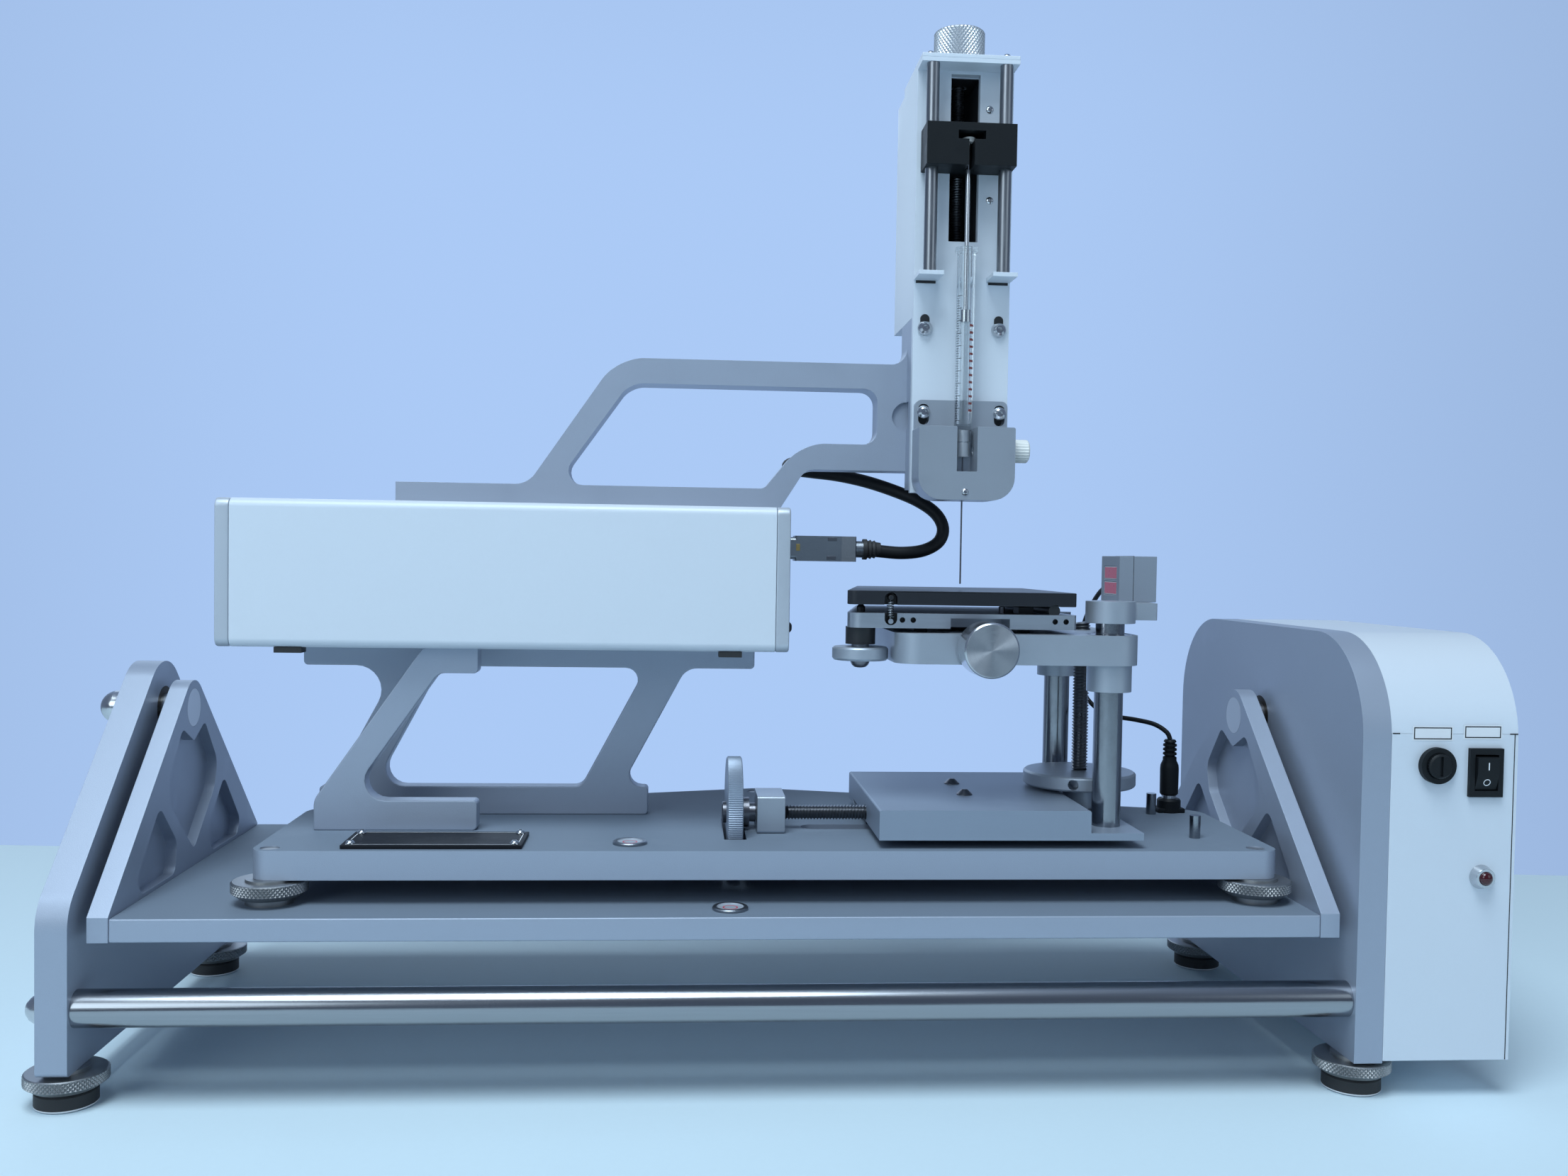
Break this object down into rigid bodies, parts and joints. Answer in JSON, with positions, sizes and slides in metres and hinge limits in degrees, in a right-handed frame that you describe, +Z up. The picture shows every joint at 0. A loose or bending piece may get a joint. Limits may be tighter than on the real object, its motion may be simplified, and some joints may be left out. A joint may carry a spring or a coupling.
{
  "type": "contact angle goniometer",
  "caption": "Contact angle goniometer: tilting cradle with a camera housing, a motorised syringe head and a sample stage with X, Y, lift and levelling drives.",
  "frame": {"origin": "on the bench under the middle of the bounding box", "axes": "+X to the operator's right along the tilt axis, +Y away from the operator, +Z up"},
  "size_m": [0.6342, 0.2188, 0.4934],
  "materials": {
    "anodised_grey": "bead blasted and clear anodised",
    "white_paint": "satin white coat",
    "pale_grey_paint": "satin coat",
    "steel": "ground and polished",
    "knurled_metal": "turned and knurled",
    "aluminium": "milled",
    "black_plastic": "moulded",
    "dark_metal": "black anodised",
    "bronze": "turned",
    "rubber": "matt",
    "glass": "clear",
    "white_plastic": "moulded",
    "plated_shell": "nickel plated"
  },
  "bodies": {
    "frame": {"left_plate": "anodised_grey", "right_plate": "anodised_grey", "tie_tubes": "steel", "cover_hood": "white_paint", "cover_tray": "white_paint", "panel_fittings": "black_plastic", "tilt_gearmotor": "dark_metal", "power_supply": "dark_metal", "pivot_bushes": "bronze", "foot_pads": "rubber"},
    "cradle": {"cradle_plate": "anodised_grey", "gussets": "anodised_grey", "pivot_pin": "steel", "drive_shaft": "steel", "base_plate": "anodised_grey", "stop_pins": "steel", "lamp_plug": "black_plastic", "front_bracket": "anodised_grey", "rear_frame": "anodised_grey", "housing_shell": "white_paint", "housing_caps": "pale_grey_paint", "camera_unit": "black_plastic", "upper_arm": "anodised_grey", "head_plate": "white_paint", "motor_cover": "white_paint", "stepper_motor": "dark_metal", "guide_rods": "steel", "syringe_barrel": "glass", "needle": "steel", "clamp_block": "aluminium", "x_slide_base": "dark_metal", "drive_plug": "plated_shell", "drive_lead": "rubber", "lamp_lead": "rubber"},
    "carriage": {"carriage": "anodised_grey", "posts": "steel", "lamp_bracket": "aluminium", "lamp_box": "aluminium"},
    "lift": {"stage_arm": "anodised_grey"},
    "table": {"table_lower": "aluminium", "table_spring": "steel"},
    "table_top": {"table_top": "dark_metal"},
    "pusher": {"pusher_block": "black_plastic", "plunger": "steel"},
    "fuse_cap": {"fuse_cap": "black_plastic"},
    "switch_rocker": {"switch_rocker": "black_plastic"},
    "foot_wheel_front_left": {"foot_wheel_front_left": "knurled_metal"},
    "foot_wheel_front_right": {"foot_wheel_front_right": "knurled_metal"},
    "foot_wheel_rear_left": {"foot_wheel_rear_left": "knurled_metal"},
    "foot_wheel_rear_right": {"foot_wheel_rear_right": "knurled_metal"},
    "base_wheel_left": {"base_wheel_left": "knurled_metal"},
    "base_wheel_right": {"base_wheel_right": "knurled_metal"},
    "base_wheel_rear": {"base_wheel_rear": "knurled_metal"},
    "syringe_drive": {"syringe_drive": "knurled_metal"},
    "clamp_screw": {"clamp_screw": "white_plastic"},
    "x_screw": {"x_screw": "aluminium"},
    "z_screw": {"z_screw": "aluminium"},
    "y_screw": {"y_screw": "knurled_metal"},
    "level_wheel": {"level_wheel": "aluminium"},
    "level_stud": {"level_stud": "steel"}
  },
  "joints": [
    {"name": "cradle_tilt", "type": "hinge", "parent": "frame", "child": "cradle", "pos_m": [-0.02005, 0.0016, 0.154], "axis": [1, 0, 0], "range_deg": [0, 90]},
    {"name": "x_slide", "type": "slide", "parent": "cradle", "child": "carriage", "axis": [1, 0, 0], "range_m": [-0.019, 0.028], "deforming": ["lamp_lead"]},
    {"name": "x_handwheel", "type": "hinge", "parent": "cradle", "child": "x_screw", "pos_m": [-0.02005, -0.0284, 0.11], "axis": [1, 0, 0], "range_deg": [-2020, 1372]},
    {"name": "lift_slide", "type": "slide", "parent": "carriage", "child": "lift", "axis": [0, 0, 1], "range_m": [-0.045, 0.001]},
    {"name": "lift_disc", "type": "hinge", "parent": "carriage", "child": "z_screw", "pos_m": [0.15195, -0.0114, 0.1245], "axis": [0, 0, 1], "range_deg": [-75, 3245]},
    {"name": "y_slide", "type": "slide", "parent": "lift", "child": "table", "axis": [0, 1, 0], "range_m": [-0.01, 0.01]},
    {"name": "y_knob", "type": "hinge", "parent": "lift", "child": "y_screw", "pos_m": [0.09055, -0.0764, 0.1908], "axis": [0, 1, 0], "range_deg": [-722, 722]},
    {"name": "table_tilt", "type": "hinge", "parent": "table", "child": "table_top", "pos_m": [0.12495, -0.0094, 0.20745], "axis": [0, 1, 0], "range_deg": [-1.2, 1.2], "deforming": ["table_spring"]},
    {"name": "level_stud_lift", "type": "slide", "parent": "table", "child": "level_stud", "axis": [0, 0, 1], "range_m": [-0.00185, 0.00185]},
    {"name": "level_thumbwheel", "type": "hinge", "parent": "table", "child": "level_wheel", "pos_m": [0.03815, -0.0464, 0.186], "axis": [0, 0, 1], "range_deg": [-132, 132]},
    {"name": "pusher_slide", "type": "slide", "parent": "cradle", "child": "pusher", "axis": [0, 0, 1], "range_m": [-0.034, 0.027]},
    {"name": "drive_knob", "type": "hinge", "parent": "cradle", "child": "syringe_drive", "pos_m": [0.09145, 0.0186, 0.478], "axis": [0, 0, 1], "range_deg": [-1950, 2455]},
    {"name": "clamp_thumbscrew", "type": "hinge", "parent": "cradle", "child": "clamp_screw", "pos_m": [0.11795, -0.0094, 0.2831], "axis": [1, 0, 0], "range_deg": [-720, 0]},
    {"name": "fuse_cap_turn", "type": "hinge", "parent": "frame", "child": "fuse_cap", "pos_m": [0.28035, -0.1044, 0.145], "axis": [0, 1, 0], "range_deg": [0, 60]},
    {"name": "switch_rock", "type": "hinge", "parent": "frame", "child": "switch_rocker", "pos_m": [0.30225, -0.1044, 0.142], "axis": [1, 0, 0], "range_deg": [-20, 0]},
    {"name": "foot_front_left", "type": "hinge", "parent": "frame", "child": "foot_wheel_front_left", "pos_m": [-0.2943, -0.0897, 0.01], "axis": [0, 0, 1], "range_deg": [-1080, 1080]},
    {"name": "foot_front_right", "type": "hinge", "parent": "frame", "child": "foot_wheel_front_right", "pos_m": [0.2542, -0.0897, 0.01], "axis": [0, 0, 1], "range_deg": [-1080, 1080]},
    {"name": "foot_rear_left", "type": "hinge", "parent": "frame", "child": "foot_wheel_rear_left", "pos_m": [-0.2943, 0.0929, 0.01], "axis": [0, 0, 1], "range_deg": [-1080, 1080]},
    {"name": "foot_rear_right", "type": "hinge", "parent": "frame", "child": "foot_wheel_rear_right", "pos_m": [0.2542, 0.0929, 0.01], "axis": [0, 0, 1], "range_deg": [-1080, 1080]},
    {"name": "base_foot_left", "type": "hinge", "parent": "cradle", "child": "base_wheel_left", "pos_m": [-0.21805, -0.0714, 0.085], "axis": [0, 0, 1], "range_deg": [-720, 720]},
    {"name": "base_foot_right", "type": "hinge", "parent": "cradle", "child": "base_wheel_right", "pos_m": [0.21595, -0.0714, 0.085], "axis": [0, 0, 1], "range_deg": [-720, 720]},
    {"name": "base_foot_rear", "type": "hinge", "parent": "cradle", "child": "base_wheel_rear", "pos_m": [-0.00205, 0.0756, 0.085], "axis": [0, 0, 1], "range_deg": [-720, 720]}
  ],
  "couplings": [
    {"joint": "x_handwheel", "follows": "x_slide", "rad_per_m": -1256.6},
    {"joint": "lift_disc", "follows": "lift_slide", "rad_per_m": -1256.6},
    {"joint": "y_knob", "follows": "y_slide", "rad_per_m": -1256.6},
    {"joint": "level_stud_lift", "follows": "table_tilt", "m_per_rad": 0.0868},
    {"joint": "level_thumbwheel", "follows": "table_tilt", "ratio": 109.08},
    {"joint": "drive_knob", "follows": "pusher_slide", "rad_per_m": -1256.6}
  ]
}
